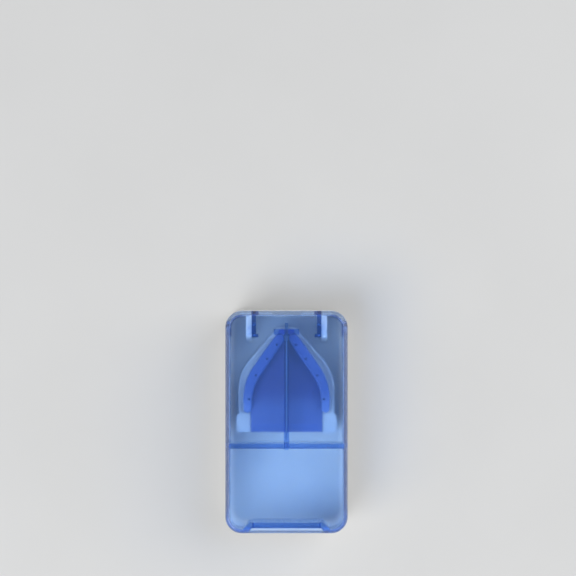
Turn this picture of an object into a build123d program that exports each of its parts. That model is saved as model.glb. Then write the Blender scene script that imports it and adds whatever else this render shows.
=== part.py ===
from build123d import *
import os
from math import cos, radians, sin

# A pocket pill splitter: a moulded tray with a clear flip lid. The lid carries a steel blade on a
# rail. A soft V of rubber on a raised deck centres the tablet under the blade.
# Millimetres and degrees. +X is to the right, +Y towards the hinge, +Z up.
# The origin is at the centre of the underside.

# ---- Overall sizes ----
BODY_WIDTH = 44.0
BODY_LENGTH = 80.0
BASE_HEIGHT = 17.5
LID_HEIGHT = 12.3
CORNER_RADIUS = 6.0
RIM_GAP = 0.2               # closed lid above the tray's rim

# ---- Tray ----
BASE_WALL = 1.4
BASE_FLOOR = 1.5
FOOT_FILLET = 1.0
FLOOR_FILLET = 1.5
RIM_FILLET = 0.4

# ---- Lid ----
LID_WALL = 1.3
LID_PLATE = 1.4
LID_TOP_FILLET = 1.4
LID_BAY_FILLET = 0.6
TONGUE_GAP = 0.4            # closing tongue behind the tray's front wall
TONGUE_WALL = 2.0
TONGUE_ROOT_WIDTH = 25.0
TONGUE_TIP_WIDTH = 24.0
TONGUE_DEPTH = 2.5          # below the tray's rim
TONGUE_TIP_RADIUS = 0.8
RECESS_SLANT = 1.8          # each slanted end of the finger recess, along X
CROSS_RIB = 1.8
CROSS_RIB_AHEAD = 3.4       # from the deck's front to the rib's rear face
CROSS_RIB_DROP = 0.8        # below the tray's rim
CROSS_RIB_SIDE_GAP = 0.6

# ---- Hinge ----
HINGE_ABOVE_RIM = 2.0
HINGE_SWING_ROOM = 2.1      # the plate passes the tray's back face by this much
LID_OPEN_ANGLE = 80.0
SWING_GAP = 0.3
PIN_RADIUS = 1.2
PIN_CLEARANCE = 0.05
LUG_RADIUS = 2.5
EAR_RADIUS = 3.0
EAR_FROM_SIDE = 9.3         # ear's inner face, from the body's side
EAR_THICKNESS = 2.0
EAR_FOOT = 5.0              # ear foot in front of the pivot
RIB_THICKNESS = 1.5
RIB_EAR_GAP = 0.2
RIB_NIB = 0.8
RIB_NIB_LENGTH = 1.1
SHOULDER_OUTBOARD = 2.3     # shoulder beyond the ear
SHOULDER_NOTCH = 5.2        # half-width of the notch for the blade rail
SHOULDER_ROUND = 1.2

# ---- Blade and its rail ----
BLADE_THICKNESS = 0.4
BLADE_BEVEL = 1.4
BLADE_ABOVE_DECK = 0.2
BLADE_REAR = 1.6            # blade's rear end in front of the pivot
BLADE_TO_RIB = 1.4
BLADE_GRIP_GAP = 0.02
RAIL_WIDTH = 2.0
RAIL_DEPTH = 4.8
RAIL_SEAT_GAP = 0.08        # rail under the lid's plate
RAIL_WEB = 2.2              # rail above the blade's spine
TAIL_WIDTH = 9.2
TAIL_LENGTH = 2.0
TAIL_DEPTH = 4.2
STEM_WIDTH = 1.2
STEM_LENGTH = 2.2
STEM_DEPTH = 1.5
TENON_RADIUS = 0.9
TENON_PROUD = 0.6
TENON_CLEARANCE = 0.05

# ---- Deck insert ----
DECK_FRONT_FROM_BACK = 44.4
DECK_BELOW_RIM = 1.0
DECK_SIDE_GAP = 2.35
DECK_WALL = 1.4
DECK_PLATE = 2.6
DECK_APEX_HALF = 3.4
DECK_APEX_BEHIND = 3.8      # deck's rear edge behind the gripper's knuckles
DECK_SHOULDER_BEHIND = 3.95 # deck's shoulder behind the arm's
DECK_SHOULDER_RADIUS = 16.0
DECK_WAIST = 0.85           # deck's sides in from its front corners
DECK_CORNER_LENGTH = 6.9
DECK_CORNER_RADIUS = 1.5
DECK_APEX_RADIUS = 1.0
CHANNEL_RIM = 0.6           # raised rim outside the arms' channel
CHANNEL_DEPTH = 0.9
CHANNEL_END_RADIUS = 1.4
POST_RADIUS = 1.5
POST_CLEARANCE = 0.05
SOCKET_WALL = 1.1
POST_TOP_GAP = 1.0
POST_SIDE = 11.0
POST_FRONT = 7.4            # front posts behind the deck's front
POST_REAR = 9.0             # rear post in front of the pivot

# ---- Cutting pad ----
PAD_PROUD = 0.5
PAD_DEPTH = 1.2
PAD_CLEARANCE = 0.1
PAD_INSIDE_ARM = 1.1
PAD_APEX_HALF = 1.6
PAD_APEX_AHEAD = 0.8
PAD_SHOULDER_RADIUS = 18.0
PAD_BEVEL = 3.0
PAD_BEVEL_DROP = 0.9
PAD_SLOT = 1.2
PAD_SLOT_DEPTH = 1.0

# ---- Gripper ----
ARM_THICKNESS = 3.6
ARM_HEIGHT = 4.4
ARM_FLOAT = 0.3             # above the pad
ARM_TIP_INSIDE = 4.05       # arm's centreline inside the deck's side
ARM_TIP_FROM_FRONT = 8.7
ARM_TIP_DROP = 1.6          # arm's top slopes down to its tip
ARM_TIP_SLOPE = 9.0         # length of that slope
ARM_SHOULDER_RADIUS = 20.0
KNUCKLE_X = 2.6
KNUCKLE_AHEAD = 3.2         # knuckle axis in front of the lid's pivot
KNUCKLE_GAP = 0.15
ARM_SHOULDER_AHEAD = 16.55  # shoulder corner in front of the knuckle
DIMPLE_RADIUS = 0.45
DIMPLE_INWARD = 0.55        # from the arm's centreline
DIMPLE_DEPTH = 1.2
DIMPLE_PLACES = (2.3, 8.5, 15.8, 25.2)      # from the knuckle, along the arm
ROOT_FRONT_HALF = 3.4
ROOT_REAR_HALF = 2.8
ROOT_FRONT = 1.2            # behind the knuckle axis
ROOT_REAR = 3.4
ROOT_SLIT = 1.6
ROOT_BRIDGE = 1.4
ROOT_SLIT_DROP = 2.4        # shallow rear part of the slit
ROOT_TENON_WIDTH = 3.0
ROOT_TENON_LENGTH = 1.0
ROOT_TENON_SETBACK = 0.2    # from the root's rear face
ROOT_TENON_CLEARANCE = 0.05

# ---- Places worked out from the sizes ----
BACK = BODY_LENGTH / 2
FRONT = -BODY_LENGTH / 2
RIM_Z = BASE_HEIGHT
LID_RIM_Z = RIM_Z + RIM_GAP
TOP_Z = LID_RIM_Z + LID_HEIGHT
PLATE_Z = TOP_Z - LID_PLATE
INNER_HALF = BODY_WIDTH / 2 - BASE_WALL
LID_INNER_HALF = BODY_WIDTH / 2 - LID_WALL
FRONT_INNER = FRONT + BASE_WALL

HINGE_Z = RIM_Z + HINGE_ABOVE_RIM
HINGE_FROM_BACK = PLATE_Z - HINGE_Z - HINGE_SWING_ROOM
HINGE_Y = BACK - HINGE_FROM_BACK
EAR_INNER = BODY_WIDTH / 2 - EAR_FROM_SIDE
RIB_OUTER = EAR_INNER - RIB_EAR_GAP
RIB_INNER = RIB_OUTER - RIB_THICKNESS
SHOULDER_Z = HINGE_Z + EAR_RADIUS
SHOULDER_HALF = EAR_INNER + EAR_THICKNESS + SHOULDER_OUTBOARD

DECK_Z = RIM_Z - DECK_BELOW_RIM
DECK_UNDER = DECK_Z - DECK_PLATE
DECK_FRONT = BACK - DECK_FRONT_FROM_BACK
DECK_HALF = INNER_HALF - DECK_SIDE_GAP
RIB_REAR = DECK_FRONT - CROSS_RIB_AHEAD
RIB_FRONT = RIB_REAR - CROSS_RIB

KNUCKLE_Y = HINGE_Y - KNUCKLE_AHEAD
ARM_TIP_X = DECK_HALF - ARM_TIP_INSIDE
ARM_TIP_Y = DECK_FRONT + ARM_TIP_FROM_FRONT
ARM_SHOULDER_Y = KNUCKLE_Y - ARM_SHOULDER_AHEAD
PAD_TOP = DECK_Z + PAD_PROUD
ARM_Z = PAD_TOP + ARM_FLOAT
ARM_TOP = ARM_Z + ARM_HEIGHT

BLADE_EDGE_Z = DECK_Z + BLADE_ABOVE_DECK
RAIL_TOP = PLATE_Z - RAIL_SEAT_GAP
BLADE_SPINE_Z = PLATE_Z - RAIL_WEB
BLADE_FRONT_Y = RIB_REAR + BLADE_TO_RIB
BLADE_REAR_Y = HINGE_Y - BLADE_REAR
RAIL_Z = PLATE_Z - RAIL_DEPTH
TENON_Z = (RAIL_Z + PLATE_Z) / 2
TAIL_FRONT_Y = BLADE_REAR_Y + BLADE_GRIP_GAP
TAIL_REAR_Y = TAIL_FRONT_Y + TAIL_LENGTH

POST_PLACES = [
    (-POST_SIDE, DECK_FRONT + POST_FRONT),
    (POST_SIDE, DECK_FRONT + POST_FRONT),
    (0, HINGE_Y - POST_REAR),
]


# ---- Helpers ----
def box(x0, x1, y0, y1, z0, z1):
    """A block between two corners."""
    return Pos((x0 + x1) / 2, (y0 + y1) / 2, (z0 + z1) / 2) * Box(x1 - x0, y1 - y0, z1 - z0)


def rounded_block(inset, z0, z1):
    """The body's rounded outline, set in from the outside, between two heights."""
    outline = RectangleRounded(
        BODY_WIDTH - 2 * inset, BODY_LENGTH - 2 * inset, CORNER_RADIUS - inset
    )
    return Pos(0, 0, z0) * extrude(outline, z1 - z0)


def prism(face, z0, z1):
    """A plan outline raised between two heights."""
    return Pos(0, 0, z0) * extrude(face, z1 - z0)


def side_prism(points, x0, x1):
    """A side outline of (y, z) points, carried from x0 to x1."""
    face = make_face(Polyline(*[(0, y, z) for y, z in points], close=True))
    return Pos(x0, 0, 0) * extrude(face, x1 - x0, dir=(1, 0, 0))


def x_rod(radius, y, z, x0, x1):
    """A round rod along X."""
    return Pos((x0 + x1) / 2, y, z) * Rot(0, 90, 0) * Cylinder(radius, x1 - x0)


def y_rod(radius, x, z, y0, y1):
    """A round rod along Y."""
    return Pos(x, (y0 + y1) / 2, z) * Rot(90, 0, 0) * Cylinder(radius, y1 - y0)


def z_rod(radius, x, y, z0, z1):
    """A round rod along Z."""
    return Pos(x, y, (z0 + z1) / 2) * Cylinder(radius, z1 - z0)


def mirrored(solid):
    """The same solid on the other side of the centre plane."""
    return mirror(solid, about=Plane.YZ)


def tulip(half, front, shoulder_y, apex_half, back, corner_r, shoulder_r, apex_r):
    """Plan outline with a straight front, straight sides and a tapering back."""
    path = FilletPolyline(
        (half, front),
        (half, shoulder_y),
        (apex_half, back),
        (-apex_half, back),
        (-half, shoulder_y),
        (-half, front),
        radius=[corner_r, shoulder_r, apex_r, apex_r, shoulder_r, corner_r],
        close=True,
    )
    return make_face(path)


def tray_point_in_lid(behind, above):
    """A tray point, given from the pivot, seen from the closed lid when it is fully open."""
    turn = radians(LID_OPEN_ANGLE)
    y = behind * cos(turn) - above * sin(turn)
    z = behind * sin(turn) + above * cos(turn)
    return HINGE_Y + y, HINGE_Z + z


def skirt_height(behind):
    """Lowest height at which the closed lid's skirt still swings down behind the tray."""
    turn = radians(LID_OPEN_ANGLE)
    return HINGE_Z + (HINGE_FROM_BACK + SWING_GAP - behind * cos(turn)) / sin(turn)


# ---- Tray ----
def hinge_ear():
    """Right-hand ear: a web on the floor, rounded about the pivot, with the pin's hole."""
    x0 = EAR_INNER
    x1 = EAR_INNER + EAR_THICKNESS
    foot_z = BASE_FLOOR / 2
    back_y = BACK - BASE_WALL / 2
    web = side_prism(
        [
            (HINGE_Y - EAR_FOOT, foot_z),
            (HINGE_Y - EAR_RADIUS, HINGE_Z),
            (HINGE_Y, HINGE_Z + EAR_RADIUS),
            (back_y, HINGE_Z + EAR_RADIUS / 2),
            (back_y, foot_z),
        ],
        x0,
        x1,
    )
    ear = web + x_rod(EAR_RADIUS, HINGE_Y, HINGE_Z, x0, x1)
    return ear - x_rod(PIN_RADIUS + PIN_CLEARANCE, HINGE_Y, HINGE_Z, x0 - 1, x1 + 1)


def shoulder(x0, x1):
    """A stretch of the back wall raised above the rim, with rounded top corners."""
    ring = rounded_block(0, RIM_Z - 1, SHOULDER_Z) - rounded_block(BASE_WALL, RIM_Z - 2, SHOULDER_Z + 1)
    block = box(x0, x1, HINGE_Y, BACK + 1, RIM_Z - 1, SHOULDER_Z)
    corner = min(SHOULDER_ROUND, 0.4 * (x1 - x0))
    block = fillet(block.edges().filter_by(Axis.Y).group_by(Axis.Z)[-1], corner)
    return ring & block


def make_base_tray():
    outer = rounded_block(0, 0, RIM_Z)
    outer = fillet(outer.edges().group_by(Axis.Z)[0], FOOT_FILLET)
    pocket = rounded_block(BASE_WALL, BASE_FLOOR, RIM_Z + 1)
    pocket = fillet(pocket.edges().group_by(Axis.Z)[0], FLOOR_FILLET)
    tray = outer - pocket
    tray = fillet(tray.edges().group_by(Axis.Z)[-1], RIM_FILLET)
    right = (
        hinge_ear()
        + shoulder(SHOULDER_NOTCH, RIB_INNER - RIB_NIB - RIB_EAR_GAP)
        + shoulder(EAR_INNER, SHOULDER_HALF)
    )
    tray = tray + right + mirrored(right)
    for x, y in POST_PLACES:
        tray += z_rod(POST_RADIUS, x, y, BASE_FLOOR / 2, DECK_UNDER - POST_TOP_GAP)
    return tray


# ---- Deck insert ----
def deck_outline():
    """The deck's plan behind its front corners."""
    return tulip(
        DECK_HALF - DECK_WAIST,
        DECK_FRONT,
        ARM_SHOULDER_Y + DECK_SHOULDER_BEHIND,
        DECK_APEX_HALF,
        KNUCKLE_Y + DECK_APEX_BEHIND,
        DECK_CORNER_RADIUS,
        DECK_SHOULDER_RADIUS,
        DECK_APEX_RADIUS,
    )


def front_corners():
    """Plan of the deck's wider front end."""
    middle = Pos(0, DECK_FRONT + DECK_CORNER_LENGTH / 2)
    return middle * RectangleRounded(2 * DECK_HALF, DECK_CORNER_LENGTH, DECK_CORNER_RADIUS)


def arm_channel():
    """Plan of the sunken channel that the arms swing over, inside the deck's raised rim."""
    front = ARM_TIP_Y - ARM_THICKNESS / 2
    window = Pos(0, (front + KNUCKLE_Y) / 2) * Rectangle(BODY_WIDTH, KNUCKLE_Y - front)
    channel = offset(deck_outline(), -CHANNEL_RIM) & window
    return fillet(channel.vertices().group_by(Axis.Y)[0], CHANNEL_END_RADIUS)


def pad_outline(grow):
    """The pad's plan, or the recess that it drops into when grown by its clearance."""
    return tulip(
        ARM_TIP_X - PAD_INSIDE_ARM + grow,
        DECK_FRONT - grow,
        ARM_SHOULDER_Y,
        PAD_APEX_HALF + grow,
        KNUCKLE_Y - PAD_APEX_AHEAD + grow,
        0,
        PAD_SHOULDER_RADIUS,
        PAD_APEX_HALF / 2,
    )


def root_tenon(grow):
    """Foot of the gripper's root, or its socket in the deck when grown."""
    half = ROOT_TENON_WIDTH / 2 + grow
    rear = KNUCKLE_Y + ROOT_REAR - ROOT_TENON_SETBACK
    return box(-half, half, rear - ROOT_TENON_LENGTH - grow, rear + grow, DECK_UNDER, DECK_Z)


def make_deck_insert():
    outline = deck_outline()
    deck = prism(outline, BASE_FLOOR, DECK_Z) + prism(front_corners(), BASE_FLOOR, DECK_Z)
    deck -= prism(offset(outline, -DECK_WALL), BASE_FLOOR - 1, DECK_UNDER)
    deck -= prism(arm_channel(), DECK_Z - CHANNEL_DEPTH, DECK_Z + 1)
    deck -= prism(pad_outline(PAD_CLEARANCE), DECK_Z - PAD_DEPTH, DECK_Z + 1)
    deck -= root_tenon(ROOT_TENON_CLEARANCE)
    for x, y in POST_PLACES:
        bore = POST_RADIUS + POST_CLEARANCE
        socket = z_rod(bore + SOCKET_WALL, x, y, DECK_UNDER / 2, DECK_UNDER)
        deck += socket & prism(outline, 0, DECK_Z)
        deck -= z_rod(bore, x, y, BASE_FLOOR, DECK_UNDER)
    return deck


def make_cutting_pad():
    pad = prism(pad_outline(0), DECK_Z - PAD_DEPTH, PAD_TOP)
    bevel = side_prism(
        [
            (DECK_FRONT, PAD_TOP - PAD_BEVEL_DROP),
            (DECK_FRONT - 1, PAD_TOP - PAD_BEVEL_DROP),
            (DECK_FRONT - 1, PAD_TOP + 1),
            (DECK_FRONT + PAD_BEVEL, PAD_TOP + 1),
            (DECK_FRONT + PAD_BEVEL, PAD_TOP),
        ],
        -BODY_WIDTH / 2,
        BODY_WIDTH / 2,
    )
    slot = box(-PAD_SLOT / 2, PAD_SLOT / 2, DECK_FRONT - 1, HINGE_Y, PAD_TOP - PAD_SLOT_DEPTH, PAD_TOP + 1)
    return pad - bevel - slot


# ---- Gripper ----
def make_gripper_root():
    knuckle_room = ARM_THICKNESS / 2 + KNUCKLE_GAP
    outline = make_face(
        Polyline(
            (ROOT_FRONT_HALF, KNUCKLE_Y + ROOT_FRONT),
            (ROOT_REAR_HALF, KNUCKLE_Y + ROOT_REAR),
            (-ROOT_REAR_HALF, KNUCKLE_Y + ROOT_REAR),
            (-ROOT_FRONT_HALF, KNUCKLE_Y + ROOT_FRONT),
            close=True,
        )
    )
    root = prism(outline, DECK_Z, ARM_TOP)
    root = fillet(root.edges().filter_by(Axis.Z).group_by(Axis.Y)[-1], ROOT_BRIDGE / 2)
    slit = ROOT_SLIT / 2
    root -= box(-slit, slit, KNUCKLE_Y, KNUCKLE_Y + ROOT_REAR - ROOT_BRIDGE, DECK_Z - 1, ARM_TOP + 1)
    root -= box(-slit, slit, KNUCKLE_Y, KNUCKLE_Y + ROOT_REAR + 1, ARM_TOP - ROOT_SLIT_DROP, ARM_TOP + 1)
    for x in (-KNUCKLE_X, KNUCKLE_X):
        root -= z_rod(knuckle_room, x, KNUCKLE_Y, DECK_Z - 1, ARM_TOP + 1)
    return root + root_tenon(0)


def arm_path():
    """Centreline of the right arm, from its knuckle to its tip."""
    return FilletPolyline(
        (KNUCKLE_X, KNUCKLE_Y),
        (ARM_TIP_X, ARM_SHOULDER_Y),
        (ARM_TIP_X, ARM_TIP_Y),
        radius=ARM_SHOULDER_RADIUS,
    )


def arm_top_at(y):
    """Height of the arm's top, which slopes down to the tip."""
    ahead = ARM_TIP_Y + ARM_TIP_SLOPE - y
    return ARM_TOP - ARM_TIP_DROP * max(0, ahead) / ARM_TIP_SLOPE


def arm_tip_slope():
    """What the slope takes off the arm's top."""
    start = ARM_TIP_Y + ARM_TIP_SLOPE
    end = ARM_TIP_Y - ARM_THICKNESS
    points = [(start, ARM_TOP), (end, arm_top_at(end)), (end, ARM_TOP + 1), (start, ARM_TOP + 1)]
    return side_prism(points, 0, BODY_WIDTH / 2)


def make_gripper_arm_right():
    half = ARM_THICKNESS / 2
    path = arm_path()
    arm = prism(trace(path, ARM_THICKNESS), ARM_Z, ARM_TOP)
    arm += z_rod(half, KNUCKLE_X, KNUCKLE_Y, ARM_Z, ARM_TOP)
    arm += z_rod(half, ARM_TIP_X, ARM_TIP_Y, ARM_Z, ARM_TOP)
    arm -= arm_tip_slope()
    for place in DIMPLE_PLACES:
        point = path.position_at(place / path.length)
        way = path.tangent_at(place / path.length)
        x = point.X + way.Y * DIMPLE_INWARD
        y = point.Y - way.X * DIMPLE_INWARD
        arm -= z_rod(DIMPLE_RADIUS, x, y, arm_top_at(y) - DIMPLE_DEPTH, ARM_TOP + 1)
    return arm


# ---- Lid ----
def finger_recess():
    """Plan of the finger recess in the lid's front wall, open to the front."""
    half = TONGUE_ROOT_WIDTH / 2
    depth_y = FRONT_INNER + TONGUE_GAP
    slope = RECESS_SLANT / (depth_y - FRONT)
    wide = half + RECESS_SLANT + slope * CORNER_RADIUS
    return make_face(
        Polyline(
            (-wide, FRONT - CORNER_RADIUS),
            (-half, depth_y),
            (half, depth_y),
            (wide, FRONT - CORNER_RADIUS),
            close=True,
        )
    )


def closing_tongue():
    """Tongue that continues the recessed wall below the rim, behind the tray's front wall."""
    y0 = FRONT_INNER + TONGUE_GAP
    tip_z = RIM_Z - TONGUE_DEPTH
    root = TONGUE_ROOT_WIDTH / 2
    tip = TONGUE_TIP_WIDTH / 2
    points = [(-root, LID_RIM_Z), (-tip, tip_z), (tip, tip_z), (root, LID_RIM_Z)]
    outline = Polyline(*[(x, y0, z) for x, z in points], close=True)
    tongue = extrude(make_face(outline), TONGUE_WALL, dir=(0, 1, 0))
    tip_edges = tongue.edges().filter_by(Axis.Y).group_by(Axis.Z)[0]
    tongue = fillet(tip_edges, TONGUE_TIP_RADIUS)
    return tongue + box(-root, root, y0, y0 + TONGUE_WALL, LID_RIM_Z, LID_RIM_Z + TONGUE_WALL)


def rear_clearance():
    """What the tray's rim and back face sweep out of the lid's side walls."""
    behind = HINGE_FROM_BACK + SWING_GAP
    above = SWING_GAP - HINGE_ABOVE_RIM
    corner = tray_point_in_lid(behind, above)
    far_back = tray_point_in_lid(behind, above - BODY_LENGTH / 4)
    heel = tray_point_in_lid(0, above)
    low_z = LID_RIM_Z - 1
    wedge = side_prism(
        [heel, corner, far_back, (far_back[0], low_z), (heel[0], low_z)], -BODY_WIDTH, BODY_WIDTH
    )
    below = box(-BODY_WIDTH, BODY_WIDTH, HINGE_Y, heel[0] + 1, low_z, heel[1])
    return wedge + (below - x_rod(-above, HINGE_Y, HINGE_Z, -BODY_WIDTH - 1, BODY_WIDTH + 1))


def hinge_rib():
    """Right-hand hinge rib: a column with a round lug, its pin, and a strip to the back edge."""
    corner = tray_point_in_lid(HINGE_FROM_BACK + SWING_GAP, SWING_GAP - HINGE_ABOVE_RIM)
    embed_z = PLATE_Z + LID_PLATE / 4
    rib = side_prism(
        [
            (HINGE_Y - LUG_RADIUS, HINGE_Z),
            (HINGE_Y - LUG_RADIUS, embed_z),
            (BACK - LID_WALL / 2, embed_z),
            (BACK - LID_WALL / 2, skirt_height(HINGE_FROM_BACK - LID_WALL / 2)),
            corner,
            (HINGE_Y + LUG_RADIUS, corner[1]),
            (HINGE_Y + LUG_RADIUS, HINGE_Z),
        ],
        RIB_INNER,
        RIB_OUTER,
    )
    rib += x_rod(LUG_RADIUS, HINGE_Y, HINGE_Z, RIB_INNER, RIB_OUTER)
    rib += x_rod(PIN_RADIUS, HINGE_Y, HINGE_Z, RIB_INNER, EAR_INNER + EAR_THICKNESS)
    nib_y = HINGE_Y - LUG_RADIUS
    rib += box(RIB_INNER - RIB_NIB, RIB_INNER, nib_y, nib_y + RIB_NIB_LENGTH, HINGE_Z, embed_z)
    return rib


def make_lid():
    shell = rounded_block(0, LID_RIM_Z, TOP_Z)
    shell = fillet(shell.edges().group_by(Axis.Z)[-1], LID_TOP_FILLET)
    bay = rounded_block(LID_WALL, LID_RIM_Z - 1, PLATE_Z)
    bay = fillet(bay.edges().group_by(Axis.Z)[-1], LID_BAY_FILLET)
    recess = finger_recess()
    recess_wall = prism(offset(recess, TONGUE_WALL, kind=Kind.INTERSECTION), LID_RIM_Z, PLATE_Z)
    lid = shell - bay
    lid += recess_wall & rounded_block(0, LID_RIM_Z, PLATE_Z)
    lid -= prism(recess, LID_RIM_Z - 1, PLATE_Z)
    lid -= rear_clearance()
    lid += closing_tongue()
    lid += box(-LID_INNER_HALF, LID_INNER_HALF, RIB_FRONT, RIB_REAR, LID_RIM_Z, PLATE_Z)
    drop_half = INNER_HALF - CROSS_RIB_SIDE_GAP
    lid += box(-drop_half, drop_half, RIB_FRONT, RIB_REAR, RIM_Z - CROSS_RIB_DROP, LID_RIM_Z)
    lid -= y_rod(TENON_RADIUS + TENON_CLEARANCE, 0, TENON_Z, RIB_FRONT - 1, RIB_REAR + 1)
    rib = hinge_rib()
    return lid + rib + mirrored(rib)


# ---- Blade and its rail ----
def make_blade_holder():
    half = RAIL_WIDTH / 2
    rail = box(-half, half, RIB_REAR, TAIL_FRONT_Y, RAIL_Z, RAIL_TOP)
    tail_half = TAIL_WIDTH / 2
    rail += box(-tail_half, tail_half, TAIL_FRONT_Y, TAIL_REAR_Y, PLATE_Z - TAIL_DEPTH, RAIL_TOP)
    stem_half = STEM_WIDTH / 2
    stem_rear = TAIL_REAR_Y + STEM_LENGTH
    rail += box(-stem_half, stem_half, TAIL_REAR_Y, stem_rear, PLATE_Z - STEM_DEPTH, RAIL_TOP)
    rail += y_rod(TENON_RADIUS, 0, TENON_Z, RIB_FRONT - TENON_PROUD, RIB_REAR)
    slot_half = BLADE_THICKNESS / 2 + BLADE_GRIP_GAP
    slot_front = BLADE_FRONT_Y - BLADE_GRIP_GAP
    slot_top = BLADE_SPINE_Z + BLADE_GRIP_GAP
    return rail - box(-slot_half, slot_half, slot_front, TAIL_FRONT_Y, RAIL_Z - 1, slot_top)


def make_blade():
    half = BLADE_THICKNESS / 2
    ground = BLADE_EDGE_Z + BLADE_BEVEL
    points = [
        (-half, BLADE_SPINE_Z),
        (half, BLADE_SPINE_Z),
        (half, ground),
        (0, BLADE_EDGE_Z),
        (-half, ground),
    ]
    outline = Polyline(*[(x, BLADE_FRONT_Y, z) for x, z in points], close=True)
    return extrude(make_face(outline), BLADE_REAR_Y - BLADE_FRONT_Y, dir=(0, 1, 0))


def main():
    right_arm = make_gripper_arm_right()
    parts = {
        "base_tray": make_base_tray(),
        "deck_insert": make_deck_insert(),
        "cutting_pad": make_cutting_pad(),
        "gripper_root": make_gripper_root(),
        "gripper_arm_right": right_arm,
        "gripper_arm_left": mirrored(right_arm),
        "lid": make_lid(),
        "blade_holder": make_blade_holder(),
        "blade": make_blade(),
    }
    os.makedirs("parts", exist_ok=True)
    for name, solid in parts.items():
        export_step(solid, f"parts/{name}.step")


main()
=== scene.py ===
"""Looks of a pocket pill splitter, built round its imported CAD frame.

A clear blue lid with a steel blade flips over a warm-white tray. In the tray stands a deck with a
soft blue cutting pad and a V-shaped gripper. Lengths are in metres, in the CAD frame.
"""
from math import acos, cos, pi, radians, sin, tan

import bmesh
import bpy
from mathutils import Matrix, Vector


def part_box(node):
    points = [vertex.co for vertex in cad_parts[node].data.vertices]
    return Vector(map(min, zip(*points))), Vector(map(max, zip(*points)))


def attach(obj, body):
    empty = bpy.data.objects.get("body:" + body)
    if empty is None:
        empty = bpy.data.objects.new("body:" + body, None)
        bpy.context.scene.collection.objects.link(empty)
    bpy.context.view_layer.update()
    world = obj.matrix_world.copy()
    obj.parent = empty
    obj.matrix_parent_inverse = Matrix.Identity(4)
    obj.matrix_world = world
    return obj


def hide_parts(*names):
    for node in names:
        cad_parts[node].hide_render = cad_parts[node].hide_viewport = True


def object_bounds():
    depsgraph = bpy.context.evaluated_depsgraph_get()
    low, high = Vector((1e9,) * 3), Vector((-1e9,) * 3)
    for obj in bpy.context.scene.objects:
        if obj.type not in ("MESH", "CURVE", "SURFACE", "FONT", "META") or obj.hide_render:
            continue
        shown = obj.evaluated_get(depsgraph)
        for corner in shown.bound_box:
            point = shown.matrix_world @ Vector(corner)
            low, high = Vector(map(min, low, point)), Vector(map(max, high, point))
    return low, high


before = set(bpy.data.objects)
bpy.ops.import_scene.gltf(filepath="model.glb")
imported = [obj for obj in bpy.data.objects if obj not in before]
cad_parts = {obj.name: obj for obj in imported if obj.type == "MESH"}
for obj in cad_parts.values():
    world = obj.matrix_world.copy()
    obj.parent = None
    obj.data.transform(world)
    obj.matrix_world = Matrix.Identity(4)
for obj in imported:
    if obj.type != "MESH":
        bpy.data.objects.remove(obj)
CAD_LOW, CAD_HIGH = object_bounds()

MM = 0.001

# Places on the object, in millimetres. The body's plan is a rounded rectangle.
CORNER = 6.0
STRAIGHT_X = CAD_HIGH[0] / MM - CORNER
STRAIGHT_Y = CAD_HIGH[1] / MM - CORNER

# A pair is where a mask begins and where it is full.
SKIRT = (CORNER - 1.5, CORNER - 1.1)        # the lid's outer walls, out from the corners' centres
SKIRT_FOOT = (17.72, 17.9)                  # up Z: below it, the skirt's foot gets painted shade
PLATE = (29.4, 29.8)                        # the lid's flat top, up Z
BELOW_PLATE = (28.0, 28.4)
RIB_INNER = (10.0, 10.15)                   # hinge ribs, which get painted shade, across X
RIB_OUTER = (12.55, 12.7)
RIB_FRONT = (29.0, 29.2)                    # along Y
CORNER_BAND = (3.3, 4.2)                    # rear corners, which get painted shade, out from their centres
CORNER_ACROSS = (14.0, 17.0)
CORNER_ALONG = (30.0, 31.5)
END_WALLS = (29.0, 36.0)                    # the skirt's ends, along Y either way
RAIL_TAIL = (30.9, 31.3)                    # along Y: the rail's tail behind it gets painted shade
PAINTED_HIGHLIGHT_SPAN = (3.0, 12.0)                         # along Y: full painted highlight before the first, none after

# How strongly each mask counts.
CORNER_DARKNESS = 0.7
FOOT_DARKNESS = 0.5
SKIRT_HAZE = 0.6
HAZE_LOST_AT_ENDS = 0.65
PLATE_CLOUD = 0.12
PAINTED_HIGHLIGHT_STRENGTH = 0.8

CLEAR_IOR = 1.46
ABSORBED = (0.05, 0.45, 0.93)               # colour that is left deep in the clear plastic
LID_DENSITY = 100.0
RAIL_DENSITY = 150.0

WHITE = (0.8, 0.785, 0.755)
WHITE_PATCH = (0.74, 0.725, 0.695)
DECK_WHITE = (0.72, 0.72, 0.71)
DECK_PATCH = (0.67, 0.67, 0.66)
ARM_BLUE = (0.034, 0.085, 0.34)
ARM_PATCH = (0.029, 0.074, 0.3)
# painted highlight: paler blue for the arms' front ends
ARM_PAINTED_HIGHLIGHT = (0.13, 0.22, 0.52)
# the pad's blue is darker than the arms': painted shade for the hollow between the arms it lies in
PAD_SHADED_BLUE = (0.026, 0.04, 0.24)
PAD_SHADED_PATCH = (0.022, 0.034, 0.21)
# painted highlight: paler blue for the pad's front
PAD_PAINTED_HIGHLIGHT = (0.08, 0.14, 0.4)
LID_TINT = (0.74, 0.85, 0.97)
# painted shade, mixed into the lid's colour at its ribs, rear corners and skirt foot
LID_PAINTED_SHADE = (0.03, 0.05, 0.32)
LID_HAZE = (0.15, 0.18, 0.27)
LID_CLOUD = (0.03, 0.25, 0.95)
RAIL_TINT = (0.6, 0.74, 0.95)
# painted shade for the rail's tail
RAIL_PAINTED_SHADE = (0.35, 0.52, 0.86)


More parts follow.
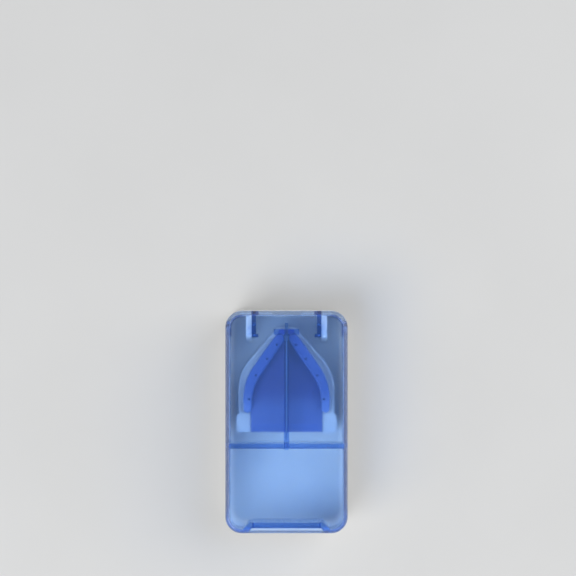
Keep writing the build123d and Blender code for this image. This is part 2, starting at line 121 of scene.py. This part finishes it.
# ---------------------------------------------------------------- materials
class Value:
    """A shader socket that takes part in Python sums."""

    def __init__(self, paint, socket):
        self.paint = paint
        self.socket = socket

    def maths(self, operation, *others, clamp=False):
        settings = {"operation": operation, "use_clamp": clamp}
        return self.paint.node("ShaderNodeMath", settings, *others)

    def __add__(self, other):
        return self.maths("ADD", self, other)

    __radd__ = __add__

    def __sub__(self, other):
        return self.maths("SUBTRACT", self, other)

    def __rsub__(self, other):
        return self.maths("SUBTRACT", other, self)

    def __mul__(self, other):
        return self.maths("MULTIPLY", self, other)

    __rmul__ = __mul__

    def __pow__(self, other):
        return self.maths("POWER", self, other)

    def step(self, low, high):
        """0 below low, 1 above high, and smooth between them."""
        settings = {"interpolation_type": "SMOOTHSTEP"}
        return self.paint.node("ShaderNodeMapRange", settings, self, low, high, 0.0, 1.0)

    def absolute(self):
        return self.maths("ABSOLUTE", self)

    def at_least(self, low):
        return self.maths("MAXIMUM", self, low)

    def clamped(self):
        return self.maths("ADD", self, 0.0, clamp=True)


class Paint:
    """A material under construction."""

    def __init__(self, name):
        self.material = bpy.data.materials.new(name)
        self.material.use_nodes = True
        self.tree = self.material.node_tree
        self.tree.nodes.clear()
        self.output = self.tree.nodes.new("ShaderNodeOutputMaterial")

    def place(self, socket, value):
        """Sets a socket to a number, a colour or a linked value."""
        if isinstance(value, Value):
            self.tree.links.new(value.socket, socket)
        elif isinstance(value, (tuple, list)) and len(value) == 3 and socket.type == "RGBA":
            socket.default_value = (*value, 1.0)
        else:
            socket.default_value = value

    def make(self, kind, settings=None, *values, **named):
        """A new node: its settings first, then its inputs by order or by name."""
        node = self.tree.nodes.new(kind)
        for key, setting in (settings or {}).items():
            setattr(node, key, setting)
        shown = [socket for socket in node.inputs if socket.enabled]
        for socket, value in zip(shown, values):
            if value is not None:
                self.place(socket, value)
        for key, value in named.items():
            self.place(node.inputs[key.replace("_", " ")], value)
        return node

    def node(self, kind, settings=None, *values, out=0, **named):
        """One output of a new node, by number or by name."""
        node = self.make(kind, settings, *values, **named)
        shown = [socket for socket in node.outputs if socket.enabled]
        chosen = node.outputs[out] if isinstance(out, str) else shown[out]
        return Value(self, chosen)

    def where(self):
        """Position in metres, in the piece's own frame."""
        return self.node("ShaderNodeTexCoord", out="Object")

    def axis(self, letter):
        """One coordinate in millimetres."""
        split = self.node("ShaderNodeSeparateXYZ", None, self.where(), out=letter)
        return split * (1 / MM)

    def noise(self, size, detail=2.0, rough=0.5, stretch=(1.0, 1.0, 1.0)):
        """Soft noise whose blobs are about size metres wide."""
        spot = self.node("ShaderNodeMapping", None, self.where(), Scale=stretch)
        return self.node(
            "ShaderNodeTexNoise", None, Vector=spot, Scale=1 / size, Detail=detail, Roughness=rough
        )

    def blend(self, amount, first, second):
        """A colour between two colours."""
        return self.node("ShaderNodeMix", {"data_type": "RGBA"}, amount, first, second)

    def bump(self, height, depth):
        """A surface normal raised by height, a value from 0 to 1, over depth metres."""
        return self.node("ShaderNodeBump", None, Strength=1.0, Distance=depth, Height=height)

    def principled(self, **named):
        return self.node("ShaderNodeBsdfPrincipled", None, **named)

    def finish(self, surface, volume=None):
        """Joins the shaders to the output, and gives the finished material."""
        self.place(self.output.inputs["Surface"], surface)
        if volume is not None:
            self.place(self.output.inputs["Volume"], volume)
        return self.material


def moulded_white(name, base, shade):
    """Warm-white moulding that lets a little light through its walls."""
    paint = Paint(name)
    patches = paint.noise(14 * MM, 3.0).step(0.35, 0.7)
    speckle = paint.noise(0.5 * MM, 2.0).step(0.3, 0.75)
    colour = paint.blend(patches * 0.6 + speckle * 0.25, base, shade)
    grain = paint.noise(0.16 * MM, 3.0, 0.6)
    return paint.finish(
        paint.principled(
            Base_Color=colour,
            Roughness=0.44 + speckle * 0.12,
            Normal=paint.bump(grain, 0.01 * MM),
            IOR=1.5,
            Subsurface_Weight=0.8,
            Subsurface_Radius=(1.0, 0.9, 0.8),
            Subsurface_Scale=4 * MM,
        )
    )


def skirt_distance(paint):
    """How far out a point is, in millimetres from the corners' centres: CORNER at the skirt's face."""
    across = (paint.axis("X").absolute() - STRAIGHT_X).at_least(0.0)
    along = (paint.axis("Y").absolute() - STRAIGHT_Y).at_least(0.0)
    return (across * across + along * along) ** 0.5


def clear_plastic(paint, tint, stand_in, roughness, density):
    """Clear plastic: the shader that lamps shine through, and the tint in its depth."""
    ripple = paint.noise(9 * MM, 2.0)
    glass = paint.principled(
        Base_Color=tint,
        Roughness=roughness,
        Transmission_Weight=1.0,
        IOR=CLEAR_IOR,
        Normal=paint.bump(ripple, 0.02 * MM),
    )
    depth = paint.node("ShaderNodeVolumeAbsorption", None, ABSORBED, density)
    return glass, paint.node("ShaderNodeBsdfTransparent", None, stand_in), depth


def let_lamps_through(paint, surface, lamp_side):
    """Lamps see the second shader, so that they light what stands under clear plastic."""
    from_lamp = paint.node("ShaderNodeLightPath", out="Is Shadow Ray")
    return paint.node("ShaderNodeMixShader", None, from_lamp, surface, lamp_side)


def lid_plastic(name, tint, dark, milky, cloud):
    """The lid: painted shade darkens it where a wall is seen from its foot (hinge ribs, rear corners,
    skirt foot), milky on its skirt, faintly cloudy on top.
    """
    paint = Paint(name)
    x = paint.axis("X").absolute()
    y = paint.axis("Y")
    z = paint.axis("Z")
    out = skirt_distance(paint)
    skirt = out.step(*SKIRT)
    under = 1 - z.step(*BELOW_PLATE)
    # painted shade: the colour is darkened at the hinge ribs, the rear corners and the skirt's foot,
    # standing for deep plastic seen edge-on and the shade under it
    rib = x.step(*RIB_INNER) * (1 - x.step(*RIB_OUTER)) * y.step(*RIB_FRONT) * under
    corner = out.step(*CORNER_BAND) * (1 - skirt) * x.step(*CORNER_ACROSS) * y.step(*CORNER_ALONG)
    foot = 1 - z.step(*SKIRT_FOOT)
    painted_shade = (rib + corner * CORNER_DARKNESS + foot * FOOT_DARKNESS).clamped()
    shade = paint.blend(painted_shade, tint, dark)
    glass, lamp_side, depth = clear_plastic(paint, shade, tint, 0.16, LID_DENSITY)
    haze = paint.principled(Base_Color=milky, Roughness=0.12, IOR=CLEAR_IOR)
    along_sides = 1 - y.absolute().step(*END_WALLS) * HAZE_LOST_AT_ENDS
    milkiness = skirt * along_sides * SKIRT_HAZE
    surface = paint.node("ShaderNodeMixShader", None, milkiness, glass, haze)
    overlay = paint.principled(Base_Color=cloud, Roughness=0.16, IOR=CLEAR_IOR)
    plate = z.step(*PLATE) * (1 - skirt)
    surface = paint.node("ShaderNodeMixShader", None, plate * PLATE_CLOUD, surface, overlay)
    return paint.finish(let_lamps_through(paint, surface, lamp_side), depth)


def rail_plastic(name, tint, dark):
    """The blade's rail, its tail darkened with painted shade."""
    paint = Paint(name)
    # painted shade: darker towards the rail's tail at the back
    shaded_tail = paint.axis("Y").step(*RAIL_TAIL)
    shade = paint.blend(shaded_tail, tint, dark)
    glass, lamp_side, depth = clear_plastic(paint, shade, tint, 0.05, RAIL_DENSITY)
    return paint.finish(let_lamps_through(paint, glass, lamp_side), depth)


def soft_rubber(name, base, shade, overlay):
    """Matt elastomer, paler towards the front: a painted highlight for the light its front ends catch.
    """
    paint = Paint(name)
    patches = paint.noise(7 * MM, 3.0).step(0.3, 0.7)
    dust = paint.noise(0.35 * MM, 4.0, 0.65).step(0.55, 0.8)
    # painted highlight: the colour turns paler towards the front
    front_highlight = 1 - paint.axis("Y").step(*PAINTED_HIGHLIGHT_SPAN)
    colour = paint.blend(patches * 0.5, base, shade)
    colour = paint.blend(front_highlight * PAINTED_HIGHLIGHT_STRENGTH, colour, overlay)
    grain = paint.noise(0.22 * MM, 3.0, 0.6)
    return paint.finish(
        paint.principled(
            Base_Color=colour,
            Roughness=0.5 + dust * 0.15,
            Normal=paint.bump(grain, 0.012 * MM),
            Sheen_Weight=0.1,
            Sheen_Roughness=0.5,
        )
    )


def ground_steel(name):
    """Stainless strip with grinding lines along it."""
    paint = Paint(name)
    lines = paint.noise(0.12 * MM, 3.0, 0.6, stretch=(1.0, 0.04, 1.0))
    colour = paint.blend(lines.step(0.3, 0.7), (0.62, 0.63, 0.65), (0.78, 0.79, 0.8))
    return paint.finish(
        paint.principled(
            Base_Color=colour,
            Metallic=1.0,
            Roughness=0.24 + lines * 0.14,
            Normal=paint.bump(lines, 0.004 * MM),
        )
    )


def paper_floor(name):
    paint = Paint(name)
    mottle = paint.noise(60 * MM, 3.0)
    colour = paint.blend(mottle, (0.56, 0.56, 0.555), (0.6, 0.6, 0.595))
    return paint.finish(paint.principled(Base_Color=colour, Roughness=0.7))


# ---------------------------------------------------------------- shapes
class Centreline:
    """A plan path: a straight run, an arc, and a straight run, measured along its length."""

    def __init__(self, start, corner, end, radius):
        self.start = Vector(start)
        self.first_way = (Vector(corner) - self.start).normalized()
        self.last_way = (Vector(end) - Vector(corner)).normalized()
        self.turn = self.first_way.angle(self.last_way)
        self.side = 1 if self.first_way.cross(self.last_way) > 0 else -1
        self.radius = radius
        cut = radius * tan(self.turn / 2)
        self.arc_from = (Vector(corner) - self.start).length - cut
        self.arc_to = self.arc_from + radius * self.turn
        self.length = self.arc_to + (Vector(end) - Vector(corner)).length - cut

    def at(self, along):
        """The point and the direction at a distance from the start."""
        if along <= self.arc_from:
            return self.start + self.first_way * along, self.first_way
        arc_start = self.start + self.first_way * self.arc_from
        turned = min((along - self.arc_from) / self.radius, self.turn)
        centre = arc_start + left_of(self.first_way) * self.side * self.radius
        point = centre + turn_by(arc_start - centre, self.side * turned)
        way = turn_by(self.first_way, self.side * turned)
        if along > self.arc_to:
            point = point + way * (along - self.arc_to)
        return point, way


def left_of(way):
    return Vector((-way.y, way.x))


def turn_by(vector, angle):
    return Vector(
        (
            vector.x * cos(angle) - vector.y * sin(angle),
            vector.x * sin(angle) + vector.y * cos(angle),
        )
    )


def rounded_section(half, low, high, radius, steps=5):
    """Points (across, up) of a bar's section with rounded corners, anticlockwise."""
    radius = min(radius, 0.98 * half, 0.49 * (high - low))
    corners = [
        (half - radius, low + radius, -pi / 2),
        (half - radius, high - radius, 0.0),
        (radius - half, high - radius, pi / 2),
        (radius - half, low + radius, pi),
    ]
    points = []
    for across, up, begin in corners:
        for step in range(steps + 1):
            angle = begin + pi / 2 * step / steps
            points.append((across + radius * cos(angle), up + radius * sin(angle)))
    return points


def loft(name, rings):
    """A closed piece through rings of points, all with the same number of points."""
    mesh = bmesh.new()
    rows = [[mesh.verts.new(point) for point in ring] for ring in rings]
    for row, following in zip(rows, rows[1:]):
        for number in range(len(row)):
            nearby = (number + 1) % len(row)
            mesh.faces.new((row[number], row[nearby], following[nearby], following[number]))
    mesh.faces.new(reversed(rows[0]))
    mesh.faces.new(rows[-1])
    bmesh.ops.recalc_face_normals(mesh, faces=mesh.faces)
    return as_object(name, mesh)


def as_object(name, mesh):
    data = bpy.data.meshes.new(name)
    mesh.to_mesh(data)
    mesh.free()
    piece = bpy.data.objects.new(name, data)
    bpy.context.scene.collection.objects.link(piece)
    return piece


def shade_smooth(piece, angle):
    """Smooth shading with sharp edges where faces meet at more than an angle in degrees."""
    data = piece.data
    data.shade_smooth()
    data.set_sharp_from_angle(angle=radians(angle))


def cut_away(piece, cutters):
    """Takes other solids out of a piece and deletes them."""
    for cutter in cutters:
        modifier = piece.modifiers.new("cut", "BOOLEAN")
        modifier.operation = "DIFFERENCE"
        modifier.solver = "EXACT"
        modifier.object = cutter
    settle(piece)
    for cutter in cutters:
        bpy.data.objects.remove(cutter)


def settle(piece):
    """Applies a piece's modifiers to its mesh."""
    view = bpy.context.evaluated_depsgraph_get()
    view.update()
    data = bpy.data.meshes.new_from_object(piece.evaluated_get(view))
    piece.modifiers.clear()
    piece.data = data


def spindle(name, x, y, low, high, radius):
    """An upright round pin with a domed foot, used to sink a dimple."""
    turns = 16
    heights = [(0.05, 0.0), (0.7, 0.25), (1.0, 0.7), (1.0, None)]
    rings = []
    for share, rise in heights:
        z = high if rise is None else low + rise * radius
        ring = []
        for step in range(turns):
            angle = 2 * pi * step / turns
            ring.append((x + share * radius * cos(angle), y + share * radius * sin(angle), z))
        rings.append(ring)
    return loft(name, rings)


# ---------------------------------------------------------------- gripper
ARM_HALF = 1.8 * MM             # half its thickness at the knuckle
ARM_MIDDLE_HALF = 1.95 * MM
ARM_TIP_HALF = 1.5 * MM
ARM_BEND = 20 * MM              # radius at its shoulder
ARM_SHOULDER_AHEAD = 16.55 * MM # shoulder corner in front of the knuckle
ARM_ROUND = 0.55 * MM           # softened long edges
ARM_TIP_DROP = 1.6 * MM
ARM_TIP_SLOPE = 9.0 * MM
ARM_STEP = 0.5 * MM             # between rings
END_RINGS = 7
DIMPLE_RADIUS = 0.45 * MM
DIMPLE_DEPTH = 1.1 * MM
DIMPLE_INWARD = 0.55 * MM       # from the arm's centreline
DIMPLE_PLACES = (2.3 * MM, 8.5 * MM, 15.8 * MM, 25.2 * MM)


class ArmShape:
    """Sizes of one gripper arm, read from the frame. side is 1 on the right and -1 on the left."""

    def __init__(self, node, side):
        low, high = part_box(node)
        inner, outer = sorted((abs(low.x), abs(high.x)))
        knuckle = Vector((side * (inner + ARM_HALF), high.y - ARM_HALF))
        tip = Vector((side * (outer - ARM_HALF), low.y + ARM_HALF))
        corner = (tip.x, knuckle.y - ARM_SHOULDER_AHEAD)
        self.path = Centreline(knuckle, corner, tip, ARM_BEND)
        self.length = self.path.length
        self.low = low.z
        self.high = high.z
        self.slope_from = tip.y + ARM_TIP_SLOPE

    def top(self, y):
        """Height of the top, which slopes down to the tip."""
        ahead = max(0.0, self.slope_from - y)
        ease = ahead * ahead / (ahead + 1.5 * MM)
        return self.high - ARM_TIP_DROP * ease / ARM_TIP_SLOPE

    def half(self, along):
        """Half the arm's thickness: fullest in the middle, slimmer at the tip."""
        share = along / self.length
        full = ARM_HALF + (ARM_MIDDLE_HALF - ARM_HALF) * min(1.0, share * 4)
        slim = max(0.0, share - 0.45) / 0.55
        return full + (ARM_TIP_HALF - full) * slim * slim * (3 - 2 * slim)

    def ring(self, along, half, lift):
        """One section across the arm, half as wide as given and lifted at its foot."""
        point, way = self.path.at(along)
        across = left_of(way)
        top = self.top(point.y) - lift
        section = rounded_section(half, self.low + lift, top, ARM_ROUND)
        return [(*(point + across * side), up) for side, up in section]


def make_arm(name, node, side):
    """A soft bar with rounded ends and edges, and a row of dimples along its top."""
    shape = ArmShape(node, side)
    length = shape.length
    count = round(length / ARM_STEP)
    middle = [length * number / count for number in range(1, count)]
    rings = [shape.ring(along, shape.half(along), 0.0) for along in middle]
    for number in range(END_RINGS - 1, -1, -1):
        angle = pi / 2 * number / END_RINGS
        lift = ARM_ROUND * (1 - sin(angle)) / 2
        root_half = ARM_HALF * max(sin(angle), 0.12)
        tip_half = ARM_TIP_HALF * max(sin(angle), 0.12)
        rings.insert(0, shape.ring(-ARM_HALF * cos(angle), root_half, lift))
        rings.append(shape.ring(length + ARM_TIP_HALF * cos(angle), tip_half, lift))
    arm = loft(name, rings)
    cutters = []
    for place in DIMPLE_PLACES:
        centre, way = shape.path.at(place)
        point = centre + left_of(way) * (side * -DIMPLE_INWARD)
        low = shape.top(point.y) - DIMPLE_DEPTH
        cutters.append(spindle("dimple", point.x, point.y, low, shape.high + MM, DIMPLE_RADIUS))
    cut_away(arm, cutters)
    shade_smooth(arm, 40)
    return arm


ROOT_HALF_REAR = 2.8 * MM
ROOT_SLIT_HALF = 0.8 * MM
ROOT_BRIDGE = 1.4 * MM          # behind the slit
ROOT_SLIT_DROP = 2.4 * MM       # depth of the shallow slit over the bridge
ROOT_ROUND = 0.3 * MM
KNUCKLE_ROOM = 1.95 * MM
ROOT_CORNER = 0.6 * MM
HOLLOW_STEPS = 8
CORNER_STEPS = 4


def prism(name, outline, low, high):
    """An upright solid on a flat outline."""
    return loft(name, [[(x, y, z) for x, y in outline] for z in (low, high)])


def make_root(name):
    """The block that both arms spring from: two hollows for the knuckles, and the blade's slit."""
    _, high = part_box("gripper_root")
    knuckle_low, knuckle_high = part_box("gripper_arm_right")
    knuckle_x = knuckle_low.x + ARM_HALF
    knuckle_y = knuckle_high.y - ARM_HALF
    begin = acos((ROOT_SLIT_HALF - knuckle_x) / KNUCKLE_ROOM)
    end = acos((high.x - knuckle_x) / KNUCKLE_ROOM)
    right = [(ROOT_SLIT_HALF, high.y - ROOT_BRIDGE)]
    for step in range(HOLLOW_STEPS + 1):
        angle = begin + (end - begin) * step / HOLLOW_STEPS
        x = knuckle_x + KNUCKLE_ROOM * cos(angle)
        right.append((x, knuckle_y + KNUCKLE_ROOM * sin(angle)))
    for step in range(CORNER_STEPS + 1):
        angle = pi / 2 * step / CORNER_STEPS
        x = ROOT_HALF_REAR - ROOT_CORNER + ROOT_CORNER * cos(angle)
        right.append((x, high.y - ROOT_CORNER + ROOT_CORNER * sin(angle)))
    left = [(-x, y) for x, y in reversed(right)]
    root = prism(name, right + left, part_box("deck_insert")[1].z, high.z)
    slit = [
        (-ROOT_SLIT_HALF, high.y - ROOT_BRIDGE - MM),
        (ROOT_SLIT_HALF, high.y - ROOT_BRIDGE - MM),
        (ROOT_SLIT_HALF, high.y + MM),
        (-ROOT_SLIT_HALF, high.y + MM),
    ]
    cut_away(root, [prism("slit", slit, high.z - ROOT_SLIT_DROP, high.z + MM)])
    bevel = root.modifiers.new("round", "BEVEL")
    bevel.width = ROOT_ROUND
    bevel.segments = 3
    bevel.angle_limit = radians(40)
    settle(root)
    shade_smooth(root, 50)
    return root


# ---------------------------------------------------------------- cutting pad
PAD_BEND = 18 * MM
PAD_APEX_HALF = 1.6 * MM
PAD_ROUND = 0.35 * MM
PAD_SLOT_HALF = 0.6 * MM
PAD_SLOT_DEPTH = 1.0 * MM
PAD_RAMP = 3.0 * MM
PAD_RAMP_DROP = 0.9 * MM
PAD_STEP = 0.6 * MM


def pad_section(half, low, high, floor):
    """A slab's section with a slot along its middle and rounded upper edges."""
    radius = min(PAD_ROUND, 0.4 * (high - low))
    slot = min(PAD_SLOT_HALF, 0.6 * half)
    lip = 0.4 * radius
    arc = []
    for step in range(5):
        angle = pi / 2 * step / 4
        arc.append((half - radius + radius * cos(angle), high - radius + radius * sin(angle)))
    right = [(0.0, low), (half, low), *arc, (slot + lip, high), (slot, high - lip), (slot, floor)]
    left = [(-x, z) for x, z in reversed(right[1:])]
    return right + left


def make_pad(name):
    """The cutting pad: a crowned slab with a slot under the blade and a ramp at its front."""
    low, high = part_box("cutting_pad")
    half = high.x
    knuckle_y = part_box("gripper_arm_right")[1].y - ARM_HALF
    corner = Vector((half, knuckle_y - ARM_SHOULDER_AHEAD))
    side = Centreline((PAD_APEX_HALF, high.y), corner, (half, low.y), PAD_BEND)
    count = round(side.length / PAD_STEP)
    floor = high.z - PAD_SLOT_DEPTH
    rings = []
    for number in range(count + 1):
        point, _ = side.at(side.length * number / count)
        ramp = max(0.0, 1 - (point.y - low.y) / PAD_RAMP)
        top = high.z - PAD_RAMP_DROP * ramp
        section = pad_section(point.x, low.z, top, min(floor, top - 0.05 * MM))
        rings.append([(x, point.y, z) for x, z in section])
    pad = loft(name, rings)
    shade_smooth(pad, 35)
    return pad


# ---------------------------------------------------------------- stage
CAMERA_HEIGHT = 0.75        # over the lid
VIEW_WIDTH = 0.2068         # across the picture, at the lid
CAMERA_OFFSET = Vector((0.54 * MM, 48.2 * MM))


def make_camera():
    data = bpy.data.cameras.new("camera")
    camera = bpy.data.objects.new("camera", data)
    bpy.context.scene.collection.objects.link(camera)
    camera.location = (CAMERA_OFFSET.x, CAMERA_OFFSET.y, CAD_HIGH[2] + CAMERA_HEIGHT)
    data.sensor_width = 36.0
    data.lens = data.sensor_width * CAMERA_HEIGHT / VIEW_WIDTH
    data.clip_start = 0.01
    bpy.context.scene.camera = camera


def make_floor():
    size = 3.0
    mesh = bpy.data.meshes.new("floor")
    corners = [(-size, -size, 0), (size, -size, 0), (size, size, 0), (-size, size, 0)]
    mesh.from_pydata(corners, [], [(0, 1, 2, 3)])
    floor = bpy.data.objects.new("floor", mesh)
    floor.location.z = CAD_LOW[2]
    bpy.context.scene.collection.objects.link(floor)
    mesh.materials.append(paper_floor("floor_paper"))


def make_light(name, place, target, width, height, power, colour=(1, 1, 1)):
    data = bpy.data.lights.new(name, "AREA")
    data.shape = "RECTANGLE"
    data.size = width
    data.size_y = height
    data.energy = power
    data.color = colour
    light = bpy.data.objects.new(name, data)
    light.location = place
    aim = Vector(target) - Vector(place)
    light.rotation_euler = aim.to_track_quat("-Z", "Y").to_euler()
    bpy.context.scene.collection.objects.link(light)


def make_lights():
    """An even sky, two soft boxes overhead and three low strips. Colours are shown as they are."""
    bpy.context.scene.view_settings.view_transform = "Standard"
    world = bpy.data.worlds.new("studio")
    world.use_nodes = True
    sky = world.node_tree.nodes["Background"]
    sky.inputs["Color"].default_value = (0.95, 0.97, 1.0, 1.0)
    sky.inputs["Strength"].default_value = 0.42
    bpy.context.scene.world = world
    make_light("key", (-0.55, -0.45, 0.9), (0, 0, 0), 0.7, 0.7, 7.0)
    make_light("fill", (0.7, 0.35, 0.8), (0, 0, 0), 0.8, 0.8, 5.0)
    make_light("front_strip", (0, -0.6, 0.12), (0, 0, 0.02), 1.0, 0.12, 0.7)
    make_light("right_strip", (0.6, 0, 0.12), (0, 0, 0.02), 1.0, 0.12, 1.8)
    make_light("left_strip", (-0.6, 0, 0.12), (0, 0, 0.02), 1.0, 0.12, 1.5)


def cover_with(node, material):
    """Gives a CAD node its finish."""
    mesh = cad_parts[node].data
    mesh.materials.clear()
    mesh.materials.append(material)


make_camera()
make_floor()
make_lights()

deck_white = moulded_white("deck_white", DECK_WHITE, DECK_PATCH)
tray_white = moulded_white("tray_white", WHITE, WHITE_PATCH)
arm_rubber = soft_rubber("arm_blue", ARM_BLUE, ARM_PATCH, ARM_PAINTED_HIGHLIGHT)
pad_rubber = soft_rubber("pad_blue", PAD_SHADED_BLUE, PAD_SHADED_PATCH, PAD_PAINTED_HIGHLIGHT)
clear_lid = lid_plastic("lid_clear", LID_TINT, LID_PAINTED_SHADE, LID_HAZE, LID_CLOUD)
clear_rail = rail_plastic("rail_clear", RAIL_TINT, RAIL_PAINTED_SHADE)
cover_with("base_tray", tray_white)
cover_with("deck_insert", deck_white)
cover_with("lid", clear_lid)
cover_with("blade_holder", clear_rail)
cover_with("blade", ground_steel("blade_steel"))

for name, side in (("left", -1), ("right", 1)):
    node = f"gripper_arm_{name}"
    arm = make_arm(f"soft_arm_{name}", node, side)
    arm.data.materials.append(arm_rubber)
    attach(arm, f"arm_{name}")
    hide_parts(node)

root = make_root("soft_root")
root.data.materials.append(arm_rubber)
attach(root, "tray")
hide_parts("gripper_root")

pad = make_pad("soft_pad")
pad.data.materials.append(pad_rubber)
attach(pad, "tray")
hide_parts("cutting_pad")
